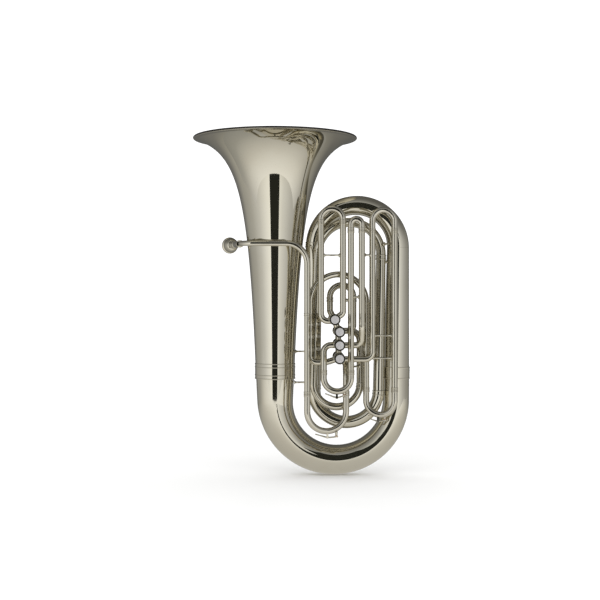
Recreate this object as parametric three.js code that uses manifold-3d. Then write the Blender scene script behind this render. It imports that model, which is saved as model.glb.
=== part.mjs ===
// A four-valve upright tuba: bell, conical branches, valves, tuning slides and water keys.
// Millimetres, +Z up. The finger buttons point along -Y, and the player sits on the +Y side.
// The origin is under the middle of the instrument, level with the lowest point of the bottom bow.
import * as THREE from "three";
import { mergeVertices } from "three/addons/utils/BufferGeometryUtils.js";
import Module from "manifold-3d";

const wasm = await Module();
wasm.setup();

// ---- Driving dimensions ----

const GAP = 0.3; // between pieces that touch or slide
const WALL = 0.8; // sheet of the bell and branches

// The flare is a Bessel horn: radius = scale * (distance below the rim + offset) ^ -power.
const BELL = {
  x: -75.5, jointZ: 295, rimZ: 956.5, scale: 1394, offset: 38.7, power: 0.4923,
  bead: 3.5, beadRadius: 229.7, flatHalf: 1.5, sides: 36,
  heights: [371, 490, 610, 713, 777, 820, 862, 897, 922, 940, 951],
};

// Cylindrical tubing of the valve section. Slides run inside the fixed sleeves.
const TUBE = { outer: 8.7, bore: 8.1, slide: 7.7, slideBore: 7.1, ferrule: 9.8, ferruleLength: 7, sides: 8 };

// Valves stand along Y; x and z are the piston's axis.
const VALVES = [
  { x: 91, z: 442.5 },
  { x: 104, z: 409 },
  { x: 104, z: 372.5 },
  { x: 104, z: 336 },
];
const CASING = { outer: 13.6, bore: 12.2, front: -104, back: 14, sides: 12 };
const CAP = { outer: 15.5, skirt: 11, face: 8, bevel: 1.5, stemHole: 3.2, ventHole: 4 };
const PISTON = { radius: 11.9, front: -100, back: -6, stem: 2.6, stemEnd: -149, windway: 6.3 };
const WINDWAY_Y = [-82, -60, -37]; // depth of the three passages across each piston
const SPRING_WELL = { radius: 7.5, depth: 18 };
const BUTTON = { radius: 15, back: -149.3, front: -157, neck: 4, inlay: 11, inlayDepth: 1.8 };
const KNUCKLE_Y = [-58, -12, -34]; // depth of the passage between each valve and the next

// Depth of each layer of tubing, from the front to the back.
const LAYER = {
  front: -82, port: -64, main: -62, fourth: -61, bowA: -46, inner: -38, second: -34, exit: -12,
};

const MAIN_SLIDE = {
  left: 15.6, right: 124.4, bowZ: 130.6, sleeveZ: 235, depth: 38, portY: -40, elbowZ: 318, alignedZ: 287,
};
const FIRST = { left: 54, right: 115, portLeftZ: 438, portRightZ: 459, bowZ: 751.2, sleeveZ: 713, depth: 70 };
const SECOND = { left: 80, right: 146, entryZ: 466, bowZ: 538.4, sleeveZ: 497.7, depth: 16 };
const THIRD = {
  left: 61.5, middle: 137.3, right: 167.7, leftZ: 371, rightZ: 370, lowBowZ: 242.1, lowSleeveZ: 295,
  lowDepth: 45, highBowZ: 722.1, highSleeveZ: 690, highDepth: 70, backZ: 420,
};
const FOURTH = {
  port: 331, rise: 198, right: 260.3, left: 181.6, far: 24.6, entryZ: 322, bowAZ: 568.2,
  highBowZ: 748.7, highSleeveZ: 690, highDepth: 70, lowBowZ: 174.5, lowSleeveZ: 245, lowDepth: 65,
};
const LEADPIPE = { y: -95, z: 654, start: [-172, -62], direction: [-0.3, 0.954], tip: 7.5, turnX: 15.6 };
const RECEIVER = { length: 55, outer: 9.6, ring: 10.8, ringLength: 6, bore: 8.2 };
const MOUTHPIECE = { shank: 30, length: 95, throat: 3.9, rim: 23.5, sides: 12 };

// The conical branch runs from a valve to the bell. Each section ends after a bend ("after") or just
// before one ("before"), with the outer radius there.
const BRANCH_VALVE = 2;
const BRANCH_CORNERS = [
  [VALVES[BRANCH_VALVE - 1].x, LAYER.exit, VALVES[BRANCH_VALVE - 1].z, 0],
  [165.3, LAYER.exit, VALVES[BRANCH_VALVE - 1].z, 28],
  [165.3, -34, 195.6],
  [32.1, LAYER.inner, 195.6],
  [47.1, LAYER.inner, 716.3],
  [227.2, -6, 716.3],
  [216, -26, 150],
  [35, 0, 150],
  [35, 0, 766],
  [276.2, 0, 766],
  [266.6, 0, 42],
  [BELL.x, 0, 42],
  [BELL.x, 0, BELL.jointZ],
];
const BRANCH_START = 9;
const BRANCH_SECTIONS = [
  { name: "exit_pipe", before: 1, radius: 10, sides: 8 },
  { name: "inner_bow", before: 3, radius: 12.5, sides: 8 },
  { name: "middle_top_bow", after: 4, radius: 13.8, sides: 10 },
  { name: "middle_right_leg", before: 5, radius: 16.1, sides: 10 },
  { name: "middle_lower_bow", after: 6, radius: 19.3, sides: 12 },
  { name: "outer_left_leg", before: 7, radius: 23.5, sides: 12 },
  { name: "outer_top_bow", after: 8, radius: 31.5, sides: 16 },
  { name: "outer_right_leg", before: 9, short: 77, radius: 36.4, sides: 20 },
  { name: "bottom_bow", radius: 55, middle: 42, sides: 20 },
];
const COLLAR = { thickness: 1.4, length: 14 };
const BOW_FERRULE = { reach: 17, thickness: 1.4 };
const BELL_FERRULE = { low: 272.5, high: 317, thickness: 1 };

// Stay rods, and the height at which each one stands.
const BRACE = { rod: 2.6, flange: 5.5, flangeLength: 1.8, sunk: 0.9, foot: 3, sides: 6 };
const STAY_Z = {
  bellHigh: 350, bellLow: 262, rightLegs: 605, first: 621, firstThird: 496, third: 505, thirdFourth: 622,
  fourthHigh: 397, fourthLow: 333.7, fourthMiddle: 655, exit: 310, leadpipe: 455,
};

// Water keys hang under the bows: pivot, vent and touch are [x, z], and the bow's underside is at tubeZ
// over the pivot and at ventTubeZ over the vent.
const WATER_KEYS = {
  main: { y: -72, pivot: [72, 114], vent: [97, 118], touch: [38, 122], tubeZ: 122, ventTubeZ: 127 },
  third: { y: -82, pivot: [98, 225], vent: [119, 234], touch: [66, 236], tubeZ: 233, ventTubeZ: 239 },
  fourth: { y: -54, pivot: [214, 157], vent: [233, 163], touch: [190, 164], tubeZ: 166, ventTubeZ: 169 },
};
const KEY = {
  earWidth: 5, sunk: 2.5, ear: 2.2, earGap: 3.4, pin: 1.2, barrel: 3, barrelHalf: 3, bore: 1.6, arm: 1.8,
  pad: 4.6, padLength: 3, nipple: 3.4, vent: 1.6,
};

const COARSE_SAG = 2.6; // how far a bend's chords may fall inside its arc, on wide tubes and on narrow ones
const FINE_SAG = 1.5;

// ---- Materials ----

const silverPlate = new THREE.MeshStandardMaterial({ color: 0xd4cfbe, roughness: 0.1, metalness: 1 });
const polishedNickel = new THREE.MeshStandardMaterial({ color: 0xcfc9b6, roughness: 0.15, metalness: 1 });
const monel = new THREE.MeshStandardMaterial({ color: 0xa9a79f, roughness: 0.3, metalness: 1 });
const pearl = new THREE.MeshStandardMaterial({ color: 0xe8e2da, roughness: 0.35, metalness: 0 });

// ---- Paths ----

const AWAY = new THREE.Vector3(0, 1, 0);
const SLANTED = new THREE.Vector3(0, 1, 1); // for paths that run along Y
const SAME_PLACE = 1e-6;

/**
 * A centre line through corner points [x, y, z, radius]. Every inner corner is rounded with its radius, or
 * with the largest bend that fits when it has none.
 */
function route(corners, sag = FINE_SAG) {
  const points = corners.map(([x, y, z]) => new THREE.Vector3(x, y, z));
  const last = points.length - 1;
  const stations = [];
  const bends = [];
  let s = 0;
  const addStation = (point, tangent) => {
    const previous = stations.at(-1);
    if (previous && previous.point.distanceTo(point) < SAME_PLACE) return;
    stations.push({ s, point: point.clone(), tangent: tangent.clone() });
  };
  const share = (i, j, end) => points[i].distanceTo(points[j]) * (j === end ? 1 : 0.5);

  addStation(points[0], points[1].clone().sub(points[0]).normalize());
  let from = points[0];
  for (let i = 1; i < last; i++) {
    const into = points[i].clone().sub(points[i - 1]).normalize();
    const out = points[i + 1].clone().sub(points[i]).normalize();
    const turn = into.angleTo(out);
    const room = Math.min(share(i, i - 1, 0), share(i, i + 1, last));
    const radius = Math.min(corners[i][3] ?? Infinity, room / Math.tan(turn / 2));
    const start = points[i].clone().addScaledVector(into, -radius * Math.tan(turn / 2));
    const axis = into.clone().cross(out).normalize();
    const centre = start.clone().addScaledVector(axis.clone().cross(into), radius);
    const steps = Math.max(2, Math.ceil(turn / (2 * Math.acos(1 - sag / (radius + sag)))));
    s += from.distanceTo(start);
    const bendStart = s;
    for (let step = 0; step <= steps; step++) {
      const angle = (turn * step) / steps;
      s = bendStart + radius * angle;
      const point = start.clone().sub(centre).applyAxisAngle(axis, angle).add(centre);
      addStation(point, into.clone().applyAxisAngle(axis, angle));
    }
    bends.push({ start: bendStart, end: s });
    from = stations.at(-1).point;
  }
  s += from.distanceTo(points[last]);
  addStation(points[last], points[last].clone().sub(points[last - 1]).normalize());
  return { stations, bends, length: s };
}

/** The point and direction at a distance along a path. */
function sectionAt(path, s) {
  const next = path.stations.findIndex((station) => station.s >= s - SAME_PLACE);
  const b = path.stations[Math.max(next, 1)];
  const a = path.stations[Math.max(next, 1) - 1];
  const share = (s - a.s) / (b.s - a.s);
  const tangent = a.tangent.clone().lerp(b.tangent, share).normalize();
  return { point: a.point.clone().lerp(b.point, share), tangent };
}

/** The rings of a profile [[distance, radius], ...], with the path's own stations between them. */
function ringsOf(path, profile) {
  const rings = [];
  profile.forEach(([s, radius], i) => {
    rings.push({ ...sectionAt(path, s), radius });
    const [nextS, nextRadius] = profile[i + 1] ?? [s, radius];
    for (const station of path.stations) {
      if (station.s <= s + SAME_PLACE || station.s >= nextS - SAME_PLACE) continue;
      const between = THREE.MathUtils.mapLinear(station.s, s, nextS, radius, nextRadius);
      rings.push({ ...station, radius: between });
    }
  });
  return rings;
}

// ---- Solids ----

/** A body swept along a path: a hollow tube with an inner profile, or a solid rod without one. */
function pipe(path, outer, inner = null, sides = TUBE.sides) {
  const rings = ringsOf(path, outer);
  if (inner) rings.push(...ringsOf(path, inner).reverse());
  const steep = path.stations.some(({ tangent }) => Math.abs(tangent.dot(AWAY)) > 0.9);
  const reference = steep ? SLANTED : AWAY;
  const position = [];
  const index = [];
  for (const { point, tangent, radius } of rings) {
    const across = reference.clone().addScaledVector(tangent, -reference.dot(tangent)).normalize();
    const beside = tangent.clone().cross(across);
    for (let side = 0; side < sides; side++) {
      const angle = (2 * Math.PI * side) / sides;
      const spoke = across.clone().multiplyScalar(Math.cos(angle)).addScaledVector(beside, Math.sin(angle));
      position.push(...point.clone().addScaledVector(spoke, radius).toArray());
    }
  }
  const bands = inner ? rings.length : rings.length - 1;
  for (let ring = 0; ring < bands; ring++) {
    const here = ring * sides;
    const there = ((ring + 1) % rings.length) * sides;
    for (let side = 0; side < sides; side++) {
      const next = (side + 1) % sides;
      index.push(here + side, here + next, there + next, here + side, there + next, there + side);
    }
  }
  if (!inner) {
    const lastRing = (rings.length - 1) * sides;
    for (let side = 2; side < sides; side++) {
      index.push(0, side, side - 1, lastRing, lastRing + side - 1, lastRing + side);
    }
  }
  const geometry = new THREE.BufferGeometry();
  geometry.setAttribute("position", new THREE.Float32BufferAttribute(position, 3));
  geometry.setIndex(index);
  return geometry;
}

const line = (from, to) => route([from, to]);

/** A straight solid rod of one radius. */
function rod(from, to, radius, sides = TUBE.sides) {
  const path = line(from, to);
  return pipe(path, [[0, radius], [path.length, radius]], null, sides);
}

/** A body of revolution about Y from a closed profile of [radius, y], anticlockwise. */
function turned(profile, sides) {
  const points = [...profile, profile[0]].map(([radius, y]) => new THREE.Vector2(radius, y));
  return new THREE.LatheGeometry(points, sides);
}

function toSolid(geometry) {
  const bare = geometry.clone();
  bare.deleteAttribute("normal");
  bare.deleteAttribute("uv");
  const merged = mergeVertices(bare, 1e-4);
  const vertProperties = merged.attributes.position.array;
  const triVerts = new Uint32Array(merged.index.array);
  return new wasm.Manifold(new wasm.Mesh({ numProp: 3, vertProperties, triVerts }));
}

/** A geometry joined with some others and cut by some others, in that order. */
function shaped(geometry, { add = [], cut = [] }) {
  let solid = toSolid(geometry);
  for (const piece of add) solid = solid.add(toSolid(piece));
  for (const piece of cut) solid = solid.subtract(toSolid(piece));
  const mesh = solid.getMesh();
  const result = new THREE.BufferGeometry();
  result.setAttribute("position", new THREE.BufferAttribute(mesh.vertProperties, 3));
  result.setIndex(new THREE.BufferAttribute(mesh.triVerts, 1));
  return result;
}

function place(group, name, geometry, material = silverPlate) {
  geometry.computeVertexNormals();
  const mesh = new THREE.Mesh(geometry, material);
  mesh.name = name;
  group.add(mesh);
}

// ---- Tubing ----

const sleeveOuter = (path, rings = [0, 1]) => {
  const { outer, ferrule, ferruleLength } = TUBE;
  const end = path.length;
  const inset = end - ferruleLength;
  const profile = [];
  if (rings.includes(0)) profile.push([0, ferrule], [ferruleLength, ferrule], [ferruleLength, outer]);
  else profile.push([0, outer]);
  if (rings.includes(1)) profile.push([inset, outer], [inset, ferrule], [end, ferrule]);
  else profile.push([end, outer]);
  return profile;
};

/** A fixed tube, with a ferrule ring at its open ends. */
function sleeve(path, rings) {
  return pipe(path, sleeveOuter(path, rings), [[0, TUBE.bore], [path.length, TUBE.bore]]);
}

/** The space a valve casing takes, which a tube that meets it is cut back from. */
const casingSpace = (valve) =>
  rod([valve.x, CASING.front, valve.z], [valve.x, CASING.back, valve.z], CASING.outer + GAP, CASING.sides);

const ports = VALVES.map(() => []);

/**
 * A fixed tube that starts in a valve: its corners begin on the piston's axis. The port is noted for the
 * casing.
 */
function valveTube(valveNumber, corners) {
  const path = route(corners);
  ports[valveNumber - 1].push(corners.slice(0, 2));
  return shaped(sleeve(path, [1]), { cut: [casingSpace(VALVES[valveNumber - 1])] });
}

/** A tuning slide: two thin legs that run in the sleeves, and the bow between them. */
function slideBow({ from, to, bowZ, sleeveZ, depth }) {
  const up = Math.sign(bowZ - sleeveZ);
  const tipZ = sleeveZ - up * depth;
  const path = route([[...from, tipZ], [...from, bowZ], [...to, bowZ], [...to, tipZ]]);
  const leg = depth + GAP;
  const end = path.length;
  const { slide, slideBore, ferrule, ferruleLength, outer } = TUBE;
  const profile = [
    [0, slide], [leg, slide], [leg, ferrule], [leg + ferruleLength, ferrule], [leg + ferruleLength, outer],
    [end - leg - ferruleLength, outer], [end - leg - ferruleLength, ferrule], [end - leg, ferrule],
    [end - leg, slide], [end, slide],
  ];
  return pipe(path, profile, [[0, slideBore], [end, slideBore]]);
}

/** A brace rod from the wall of tube a, which it is joined to, to just short of tube b. */
function brace(a, b, radiusA, radiusB) {
  const from = new THREE.Vector3(...a);
  const to = new THREE.Vector3(...b);
  const along = to.clone().sub(from).normalize();
  const { rod: thin, flange, flangeLength, sunk, foot, sides } = BRACE;
  from.addScaledVector(along, radiusA - sunk);
  to.addScaledVector(along, -radiusB - GAP);
  const path = line(from.toArray(), to.toArray());
  const end = path.length;
  const head = end - flangeLength;
  const profile = [[0, flange], [foot, flange], [foot, thin], [head, thin], [head, flange], [end, flange]];
  return pipe(path, profile, null, sides);
}

// ---- Bell and branches ----

const bellRadius = (z) => BELL.scale * (BELL.rimZ - z + BELL.offset) ** -BELL.power;

function bellProfile() {
  const heights = [BELL.jointZ + GAP, ...BELL.heights];
  const outside = heights.map((z) => [bellRadius(z), z]);
  const inside = outside.slice(0, -1).reverse().map(([radius, z]) => {
    const slope = (BELL.power * radius) / (BELL.rimZ - z + BELL.offset);
    const step = WALL / Math.hypot(1, slope);
    return [radius - step, Math.max(z + step * slope, heights[0])];
  });
  const { beadRadius: centre, bead, rimZ, flatHalf } = BELL;
  const beadPoint = (degrees) => {
    const angle = THREE.MathUtils.degToRad(degrees);
    return [centre + bead * Math.cos(angle), rimZ + bead * Math.sin(angle)];
  };
  const rim = [-70, -25, 25].map(beadPoint);
  const flat = [[centre + flatHalf, rimZ + bead], [centre - flatHalf, rimZ + bead]];
  return [...outside, ...rim, ...flat, beadPoint(165), ...inside];
}

function bellGroup() {
  const group = new THREE.Group();
  group.position.x = BELL.x;
  group.rotation.x = Math.PI / 2; // the turned profile's Y becomes Z
  place(group, "bell", turned(bellProfile(), BELL.sides));
  const { low, high, thickness } = BELL_FERRULE;
  const inner = bellRadius(high) + GAP + 0.1;
  const profile = [[inner, low], [inner + thickness, low], [inner + thickness, high], [inner, high]];
  place(group, "bell_ferrule", turned(profile, BELL.sides));
  return group;
}

function branchGroup() {
  const group = new THREE.Group();
  const path = route(BRANCH_CORNERS, COARSE_SAG);
  let start = 0;
  let radius = BRANCH_START;
  for (const section of BRANCH_SECTIONS) {
    const { before, after } = section;
    let end = path.length;
    if (after !== undefined) end = path.bends[after].end;
    if (before !== undefined) end = path.bends[before].start - (section.short ?? 0);
    const low = start + (start > 0 ? GAP : 0);
    const taper = [[low, radius], [end, section.radius]];
    if (section.middle) taper.splice(1, 0, [(path.bends[9].start + path.bends[10].end) / 2, section.middle]);
    const bore = taper.map(([s, r]) => [s, r - WALL]);
    const collared = [...taper];
    if (section.name !== "exit_pipe" && section.name !== "bottom_bow" && section.name !== "outer_right_leg") {
      const collar = low + COLLAR.length;
      const collarRadius = THREE.MathUtils.mapLinear(collar, low, end, radius, section.radius);
      const raised = [[low, radius + COLLAR.thickness], [collar, collarRadius + COLLAR.thickness]];
      collared.splice(0, 1, ...raised, [collar, collarRadius]);
    }
    let geometry = pipe(path, collared, bore, section.sides);
    if (start === 0) {
      ports[BRANCH_VALVE - 1].push(BRANCH_CORNERS.slice(0, 2));
      geometry = shaped(geometry, { cut: [casingSpace(VALVES[BRANCH_VALVE - 1])] });
    }
    geometry = shaped(geometry, { add: branchStays[section.name] ?? [] });
    place(group, section.name, geometry);
    if (section.name === "outer_right_leg") {
      const { reach, thickness } = BOW_FERRULE;
      const inner = section.radius + 0.3 + GAP;
      const span = [end - reach, end + reach];
      const outerRings = span.map((s) => [s, inner + thickness]);
      place(group, "bow_ferrule", pipe(path, outerRings, span.map((s) => [s, inner]), section.sides));
    }
    start = end;
    radius = section.radius;
  }
  return group;
}

// Where each branch that carries a stay runs, and its radius at that stay.
const STAYED = {
  outerLeft: { x: 35, y: 0, radiusHigh: 20.4, radiusLow: 19.5 },
  bellLowRadius: 54.6,
  middleRight: { x: 224.9, y: -9.2, radius: 13.9 },
  outerRight: { x: 274.4, y: 0, radius: 32.4 },
};

function levelBrace(from, to, z, fromRadius, toRadius) {
  return brace([from.x, from.y ?? 0, z], [to.x, to.y ?? 0, z], fromRadius, toRadius);
}

const { outerLeft, middleRight, outerRight } = STAYED;
const branchStays = {
  outer_left_leg: [
    levelBrace(outerLeft, BELL, STAY_Z.bellHigh, outerLeft.radiusHigh, bellRadius(STAY_Z.bellHigh)),
    levelBrace(outerLeft, BELL, STAY_Z.bellLow, outerLeft.radiusLow, STAYED.bellLowRadius),
  ],
  middle_right_leg: [
    levelBrace(middleRight, outerRight, STAY_Z.rightLegs, middleRight.radius, outerRight.radius),
  ],
};

// ---- Valves ----

/** A cup-shaped cap over one end of a casing. facing is -1 for the front cap and 1 for the back one. */
function cap(facing, end, hole) {
  const { outer, skirt, face, bevel } = CAP;
  const inner = CASING.outer + GAP;
  const floor = end + facing * GAP;
  const outside = end + facing * face;
  const profile = [
    [hole, floor], [inner, floor], [inner, end - facing * skirt], [outer, end - facing * skirt],
    [outer, outside - facing * bevel], [outer - bevel, outside], [hole, outside],
  ];
  return turned(facing > 0 ? profile : profile.reverse(), CASING.sides);
}

function casing(number) {
  const valve = VALVES[number - 1];
  const { outer, bore, front, back, sides } = CASING;
  const body = rod([valve.x, front, valve.z], [valve.x, back, valve.z], outer, sides);
  const hollow = rod([valve.x, front - 1, valve.z], [valve.x, back + 1, valve.z], bore, sides);
  const cuts = [hollow, ...ports[number - 1].map(([from, to]) => rod(from, to, TUBE.bore))];
  const add = [];
  if (number > 1) {
    const above = VALVES[number - 2];
    const y = KNUCKLE_Y[number - 2];
    const ends = [[valve.x, y, valve.z], [above.x, y, above.z]];
    add.push(rod(...ends, TUBE.outer));
    cuts.push(rod(...ends, TUBE.bore), casingSpace(above));
  }
  if (number < VALVES.length) {
    const below = VALVES[number];
    const y = KNUCKLE_Y[number - 1];
    cuts.push(rod([valve.x, y, valve.z], [below.x, y, below.z], TUBE.bore));
  }
  return shaped(body, { add, cut: cuts });
}

function piston() {
  const { radius, front, back, stem, stemEnd, windway } = PISTON;
  const profile = [
    [0, stemEnd], [stem, stemEnd], [stem, front], [radius, front], [radius, back],
    [SPRING_WELL.radius, back], [SPRING_WELL.radius, back - SPRING_WELL.depth], [0, back - SPRING_WELL.depth],
  ];
  const windways = WINDWAY_Y.map((y, i) => {
    const angle = (i * Math.PI) / VALVES.length;
    const reach = [2 * radius * Math.cos(angle), 2 * radius * Math.sin(angle)];
    return rod([-reach[0], y, -reach[1]], [reach[0], y, reach[1]], windway);
  });
  return shaped(turned(profile, CASING.sides), { cut: windways });
}

function button() {
  const { radius, back, front, neck, inlay, inlayDepth } = BUTTON;
  const seat = inlay + GAP;
  const floor = front + inlayDepth;
  const dish = [[0, back], [0, floor], [seat, floor], [seat, front], [radius, front + 1]];
  const skirt = [[radius, back - 3], [neck, back - 2], [neck, back]];
  return turned([...dish, ...skirt], CASING.sides);
}

function inlay() {
  const { front, inlay: radius, inlayDepth } = BUTTON;
  const floor = front + inlayDepth - GAP;
  const dome = [[0, front - 1.2], [radius - 2.5, front - 0.8], [radius, front]];
  return turned([[0, floor], ...dome, [radius, floor]], CASING.sides);
}

function valveGroup(number) {
  const group = new THREE.Group();
  const { x, z } = VALVES[number - 1];
  group.position.set(x, 0, z);
  place(group, `valve${number}_top_cap`, cap(-1, CASING.front, CAP.stemHole));
  place(group, `valve${number}_bottom_cap`, cap(1, CASING.back, CAP.ventHole));
  place(group, `valve${number}_piston`, piston(), monel);
  place(group, `valve${number}_button`, button());
  place(group, `valve${number}_pearl`, inlay(), pearl);
  return group;
}

// ---- Water keys ----

/**
 * A water key under a bow: two ears with a pin, and a vent nipple, which belong to the slide, and the
 * sprung lever.
 */
function waterKey({ y, pivot, vent: [ventX, ventZ], touch: [touchX, touchZ], tubeZ, ventTubeZ }) {
  const [pivotX, pivotZ] = pivot;
  const { earWidth, sunk, ear, earGap, pin, barrel, barrelHalf, bore } = KEY;
  const { arm, pad, padLength, nipple, vent } = KEY;
  const across = (half, radius) => rod([pivotX, y - half, pivotZ], [pivotX, y + half, pivotZ], radius);
  const ears = [-1, 1].map((side) => {
    const earY = y + side * (earGap + ear / 2);
    const plate = new THREE.BoxGeometry(earWidth, ear, tubeZ - pivotZ + 2 * sunk);
    return plate.translate(pivotX, earY, (tubeZ + pivotZ) / 2);
  });
  const spout = rod([ventX, y, ventTubeZ + sunk], [ventX, y, ventZ], nipple);
  const drain = rod([ventX, y, ventTubeZ + 2 * sunk], [ventX, y, ventZ - 1], vent);
  const seat = ventZ - GAP;
  const armZ = seat - padLength;
  const lever = shaped(across(barrelHalf, barrel), {
    add: [
      rod([ventX, y, armZ], [pivotX, y, pivotZ - 1], arm),
      rod([pivotX, y, pivotZ - 1], [touchX, y, touchZ], arm),
      rod([ventX, y, seat], [ventX, y, armZ - arm], pad),
    ],
    cut: [across(barrelHalf + 1, bore)],
  });
  return { saddle: { add: [...ears, across(earGap + ear - 0.2, pin), spout], cut: [drain] }, lever };
}

// ---- Slides and fixed tubes ----

function mainTubing(group) {
  const valve = VALVES[3];
  const { left, right, bowZ, sleeveZ, depth, portY, elbowZ, alignedZ } = MAIN_SLIDE;
  place(group, "main_fixed_tube", valveTube(4, [
    [valve.x, portY, valve.z], [right, portY, elbowZ, 12], [right, LAYER.main, alignedZ, 30],
    [right, LAYER.main, sleeveZ],
  ]));
  const key = waterKey(WATER_KEYS.main);
  const bow = slideBow({ from: [left, LAYER.front], to: [right, LAYER.main], bowZ, sleeveZ, depth });
  place(group, "main_tuning_slide", shaped(bow, key.saddle), polishedNickel);
  place(group, "main_water_key", key.lever);
}

function firstTubing(group) {
  const valve = VALVES[0];
  const { left, right, portLeftZ, portRightZ, bowZ, sleeveZ, depth } = FIRST;
  const y = LAYER.front;
  const tube = valveTube(1, [[valve.x, y, portLeftZ], [left, y, portLeftZ, 20], [left, y, sleeveZ]]);
  const stay = brace([left, y, STAY_Z.first], [right, y, STAY_Z.first], TUBE.outer, TUBE.outer);
  place(group, "first_left_tube", shaped(tube, { add: [stay] }));
  place(group, "first_right_tube", valveTube(1, [
    [valve.x, y, valve.z], [right, y, portRightZ, 14], [right, y, sleeveZ],
  ]));
  const bow = slideBow({ from: [left, y], to: [right, y], bowZ, sleeveZ, depth });
  place(group, "first_slide", bow, polishedNickel);
}

function secondTubing(group) {
  const [above, valve] = VALVES;
  const { left, right, entryZ, bowZ, sleeveZ, depth } = SECOND;
  const y = LAYER.second;
  const leftCorners = [[above.x, y, above.z], [left, y, entryZ, 14], [left, y, sleeveZ]];
  const rightCorners = [[valve.x, y, valve.z], [right, y, valve.z, 16], [right, y, sleeveZ]];
  place(group, "second_left_tube", valveTube(1, leftCorners));
  place(group, "second_right_tube", valveTube(2, rightCorners));
  const bow = slideBow({ from: [left, y], to: [right, y], bowZ, sleeveZ, depth });
  place(group, "second_slide", bow, polishedNickel);
}

function thirdTubing(group) {
  const valve = VALVES[2];
  const { left, middle, right, leftZ, rightZ, backZ } = THIRD;
  const y = LAYER.front;
  const leftCorners = [[valve.x, y, leftZ], [left, y, leftZ, 20], [left, y, THIRD.lowSleeveZ]];
  place(group, "third_left_tube", valveTube(3, leftCorners));
  const across = sleeve(line([middle, y, THIRD.lowSleeveZ], [middle, y, THIRD.highSleeveZ]));
  const braces = [
    brace([middle, y, STAY_Z.firstThird], [FIRST.right, y, STAY_Z.firstThird], TUBE.outer, TUBE.outer),
    brace([middle, y, STAY_Z.third], [right, y, STAY_Z.third], TUBE.outer, TUBE.outer),
    brace([middle, y, STAY_Z.exit], [165.3, -22.2, STAY_Z.exit], TUBE.outer, 10.2),
  ];
  place(group, "third_middle_tube", shaped(across, { add: braces }));
  place(group, "third_right_tube", valveTube(3, [
    [valve.x, LAYER.port, rightZ], [right, LAYER.port, rightZ, 18], [right, y, backZ, 60],
    [right, y, THIRD.highSleeveZ],
  ]));
  const key = waterKey(WATER_KEYS.third);
  const low = slideBow({
    from: [left, y], to: [middle, y], bowZ: THIRD.lowBowZ, sleeveZ: THIRD.lowSleeveZ, depth: THIRD.lowDepth,
  });
  place(group, "third_lower_slide", shaped(low, key.saddle), polishedNickel);
  place(group, "third_water_key", key.lever);
  const high = slideBow({
    from: [middle, y], to: [right, y],
    bowZ: THIRD.highBowZ, sleeveZ: THIRD.highSleeveZ, depth: THIRD.highDepth,
  });
  place(group, "third_upper_slide", high, polishedNickel);
}

function fourthTubing(group) {
  const valve = VALVES[3];
  const { port, rise, right, left, far, entryZ, bowAZ } = FOURTH;
  const riser = valveTube(4, [
    [valve.x, LAYER.port, port], [rise, LAYER.port, port, 20], [rise, LAYER.port, FOURTH.highSleeveZ],
  ]);
  const { thirdFourth, fourthHigh, fourthLow, fourthMiddle } = STAY_Z;
  const riserBraces = [
    brace([rise, LAYER.port, thirdFourth], [THIRD.right, LAYER.front, thirdFourth], TUBE.outer, TUBE.outer),
    brace([rise, LAYER.port, fourthHigh], [right, LAYER.fourth, fourthHigh], TUBE.outer, TUBE.outer),
    brace([rise - 10, LAYER.port, fourthLow], [right, LAYER.fourth, fourthLow], 12.9, TUBE.outer),
  ];
  place(group, "fourth_right_tube", shaped(riser, { add: riserBraces }));
  const fallTop = [right, LAYER.fourth, FOURTH.highSleeveZ];
  const fall = sleeve(line(fallTop, [right, LAYER.fourth, FOURTH.lowSleeveZ]));
  const fallBrace = brace([right, LAYER.fourth, fourthMiddle], [226.1, -7.7, fourthMiddle], TUBE.outer, 15.5);
  place(group, "fourth_middle_tube", shaped(fall, { add: [fallBrace] }));
  place(group, "fourth_left_tube", valveTube(4, [
    [valve.x, LAYER.fourth, 333], [68, LAYER.fourth, entryZ, 30], [far, LAYER.fourth, entryZ, 18],
    [far, LAYER.fourth, bowAZ], [left, LAYER.bowA, bowAZ], [left, LAYER.bowA, FOURTH.lowSleeveZ],
  ]));
  const high = slideBow({
    from: [rise, LAYER.port], to: [right, LAYER.fourth], bowZ: FOURTH.highBowZ, sleeveZ: FOURTH.highSleeveZ,
    depth: FOURTH.highDepth,
  });
  place(group, "fourth_upper_slide", high, polishedNickel);
  const key = waterKey(WATER_KEYS.fourth);
  const low = slideBow({
    from: [left, LAYER.bowA], to: [right, LAYER.fourth], bowZ: FOURTH.lowBowZ, sleeveZ: FOURTH.lowSleeveZ,
    depth: FOURTH.lowDepth,
  });
  place(group, "fourth_lower_slide", shaped(low, key.saddle), polishedNickel);
  place(group, "fourth_water_key", key.lever);
}

// ---- Leadpipe, receiver and mouthpiece ----

function leadpipe() {
  const { y, z, start, direction, tip, turnX } = LEADPIPE;
  const ahead = (y - start[1]) / direction[1];
  const path = route([
    [...start, z], [start[0] + ahead * direction[0], y, z, 32], [turnX, y, z, 80],
    [turnX, LAYER.front, 540, 200],
    [turnX, LAYER.front, MAIN_SLIDE.sleeveZ],
  ]);
  const straight = path.bends[1].end;
  const { outer, bore, ferrule, ferruleLength } = TUBE;
  const end = path.length;
  const profile = [
    [0, tip], [straight, outer], [end - ferruleLength, outer], [end - ferruleLength, ferrule], [end, ferrule],
  ];
  const beside = STAY_Z.leadpipe;
  const stays = [
    brace([BELL.x, y, z], [BELL.x, 0, z], tip + 1, bellRadius(z) + 1),
    brace([turnX, LAYER.front, beside], [FOURTH.far, LAYER.fourth, beside], outer, outer),
  ];
  return shaped(pipe(path, profile, [[0, tip - 1], [straight, bore], [end, bore]]), { add: stays });
}

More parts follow.
